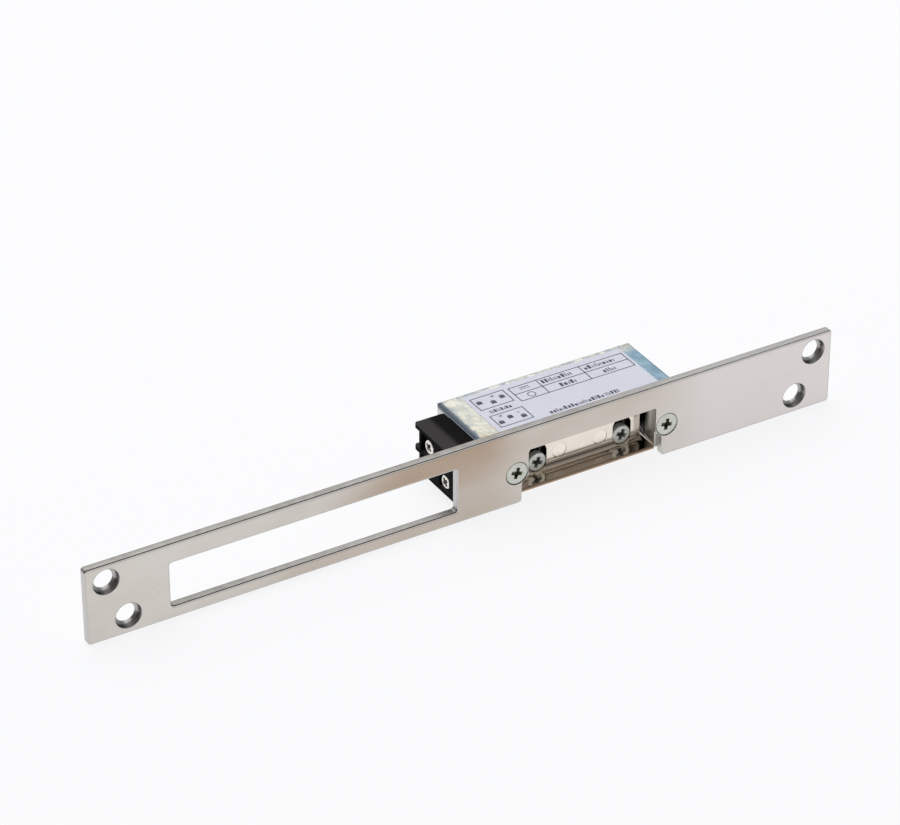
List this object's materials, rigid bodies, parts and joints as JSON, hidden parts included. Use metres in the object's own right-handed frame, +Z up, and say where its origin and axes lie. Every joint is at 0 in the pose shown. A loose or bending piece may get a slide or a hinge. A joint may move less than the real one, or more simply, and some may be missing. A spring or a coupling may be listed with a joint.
{
  "type": "electric door strike",
  "caption": "Long flat faceplate with a dead bolt slot and a latch notch, carrying a swinging adjustable keeper, a magnet that locks it and a terminal block.",
  "frame": {"origin": "middle of the faceplate's front face", "axes": "X along the faceplate towards its plain end, Y into the door frame, Z up across the faceplate; the latch notch opens downwards"},
  "size_m": [0.25, 0.0335, 0.025],
  "materials": {
    "faceplate": "satin stainless steel",
    "screws": "pale zinc plated steel",
    "housing": "plain zinc alloy casting",
    "cover": "zinc plated sheet with cream and blue tints",
    "label": "pale printed film",
    "terminal_plastic": "black moulded plastic",
    "brass": "plain stamped brass",
    "bright_nickel": "bright nickel plating",
    "iron": "soft iron",
    "bobbin_plastic": "natural moulded plastic",
    "copper": "lacquered copper wire",
    "lead_insulation": "red insulated wire",
    "pin_steel": "ground steel",
    "spring_steel": "drawn spring steel"
  },
  "bodies": {
    "frame": {"faceplate": "faceplate", "plate_screws": "screws", "housing": "housing", "cover": "cover", "rating_label": "label", "terminal_block": "terminal_plastic", "terminal_tags": "brass", "terminal_clamps": "bright_nickel", "terminal_screws": "bright_nickel", "magnet_yoke": "iron", "yoke_screws": "screws", "magnet_core": "iron", "coil_bobbin": "bobbin_plastic", "coil_winding_left": "copper", "coil_winding_right": "copper", "coil_leads": "lead_insulation", "keeper_pins": "pin_steel", "keeper_spring": "spring_steel", "armature_pin": "pin_steel", "armature_spring": "spring_steel", "lever_pin": "pin_steel", "lever_spring": "spring_steel"},
    "keeper": {"keeper_carrier": "housing", "adjusting_screws": "screws"},
    "adjuster": {"keeper_plate": "bright_nickel", "guide_dowels": "bright_nickel"},
    "clapper": {"armature": "iron"},
    "lever": {"blocking_lever": "pin_steel"}
  },
  "joints": [
    {"name": "keeper_swing", "type": "hinge", "parent": "frame", "child": "keeper", "pos_m": [0.0402, 0.0142, -0.0065], "axis": [1, 0, 0], "range_deg": [0, 45], "stiffness_Nm_per_rad": 0.02, "springref_deg": -28.65, "deforming": ["keeper_spring"]},
    {"name": "keeper_adjust", "type": "slide", "parent": "keeper", "child": "adjuster", "axis": [0, 0, -1], "range_m": [0, 0.003]},
    {"name": "armature_swing", "type": "hinge", "parent": "frame", "child": "clapper", "pos_m": [0.0521, 0.0294, -0.0018], "axis": [0, 0, -1], "range_deg": [0, 5], "stiffness_Nm_per_rad": 0.01, "springref_deg": -11.46, "deforming": ["armature_spring"]},
    {"name": "lever_swing", "type": "hinge", "parent": "frame", "child": "lever", "pos_m": [0.056, 0.0236, -0.0018], "axis": [0, 0, -1], "range_deg": [0, 12]}
  ],
  "couplings": [
    {"joint": "lever_swing", "follows": "armature_swing", "ratio": 2.3}
  ]
}
